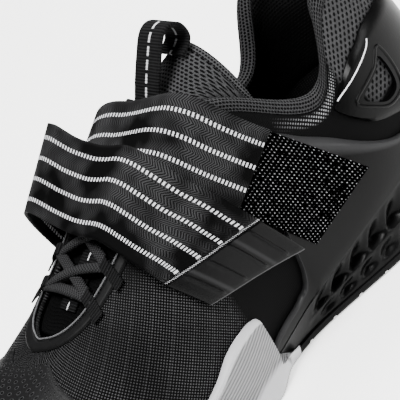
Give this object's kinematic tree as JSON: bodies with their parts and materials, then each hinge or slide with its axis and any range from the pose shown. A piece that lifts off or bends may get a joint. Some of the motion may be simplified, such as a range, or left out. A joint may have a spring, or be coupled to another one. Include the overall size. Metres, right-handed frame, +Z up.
{
  "type": "weightlifting shoe",
  "caption": "Low-cut lifting shoe for the left foot: raised hard heel wedge, grey rubber forefoot, laced fabric upper and a wide strap over the instep.",
  "frame": {"origin": "centre of the shoe's footprint at floor level", "axes": "+X toward the toe, +Y toward the lateral side, +Z up"},
  "size_m": [0.283, 0.1078, 0.1363],
  "materials": {
    "heel_shell": "satin black moulded shell with soft bevels",
    "forefoot_rubber": "matt light grey rubber, ribbed on the lateral side",
    "tread_rubber": "matt black rubber",
    "foot_bed_cloth": "smooth black lining cloth",
    "ripstop_fabric": "black ripstop weave with a fine light grid",
    "collar_knit": "coarse black padded knit",
    "tongue_mesh": "open black mesh over padding",
    "smooth_skin": "smooth dark skin with small perforations",
    "woven_elastic": "wide black woven elastic with four light stitched lines",
    "hook_and_loop": "black hook-and-loop pile",
    "soft_rubber_tab": "soft black moulded rubber with raised ridges",
    "ring_plastic": "black moulded ring",
    "webbing": "black woven webbing",
    "lace_cloth": "black flat lace"
  },
  "bodies": {
    "root": {"heel_wedge": "heel_shell", "heel_clip": "heel_shell", "forefoot_sole": "forefoot_rubber", "heel_outsole": "tread_rubber", "insole": "foot_bed_cloth", "upper": "ripstop_fabric", "collar_cuff": "collar_knit", "tongue": "tongue_mesh", "toe_overlay": "smooth_skin", "eyestay": "smooth_skin", "strap": "woven_elastic", "hook_patch": "hook_and_loop", "strap_tab": "soft_rubber_tab", "strap_ring": "ring_plastic", "ring_anchor": "webbing", "pull_loop": "webbing", "tongue_webbing": "webbing", "lace": "lace_cloth", "eyelet_lateral_1": "webbing", "eyelet_lateral_2": "webbing", "eyelet_lateral_3": "webbing", "eyelet_lateral_4": "webbing", "eyelet_lateral_5": "webbing", "eyelet_lateral_6": "webbing", "eyelet_medial_1": "webbing", "eyelet_medial_2": "webbing", "eyelet_medial_3": "webbing", "eyelet_medial_4": "webbing", "eyelet_medial_5": "webbing", "eyelet_medial_6": "webbing"}
  },
  "joints": []
}
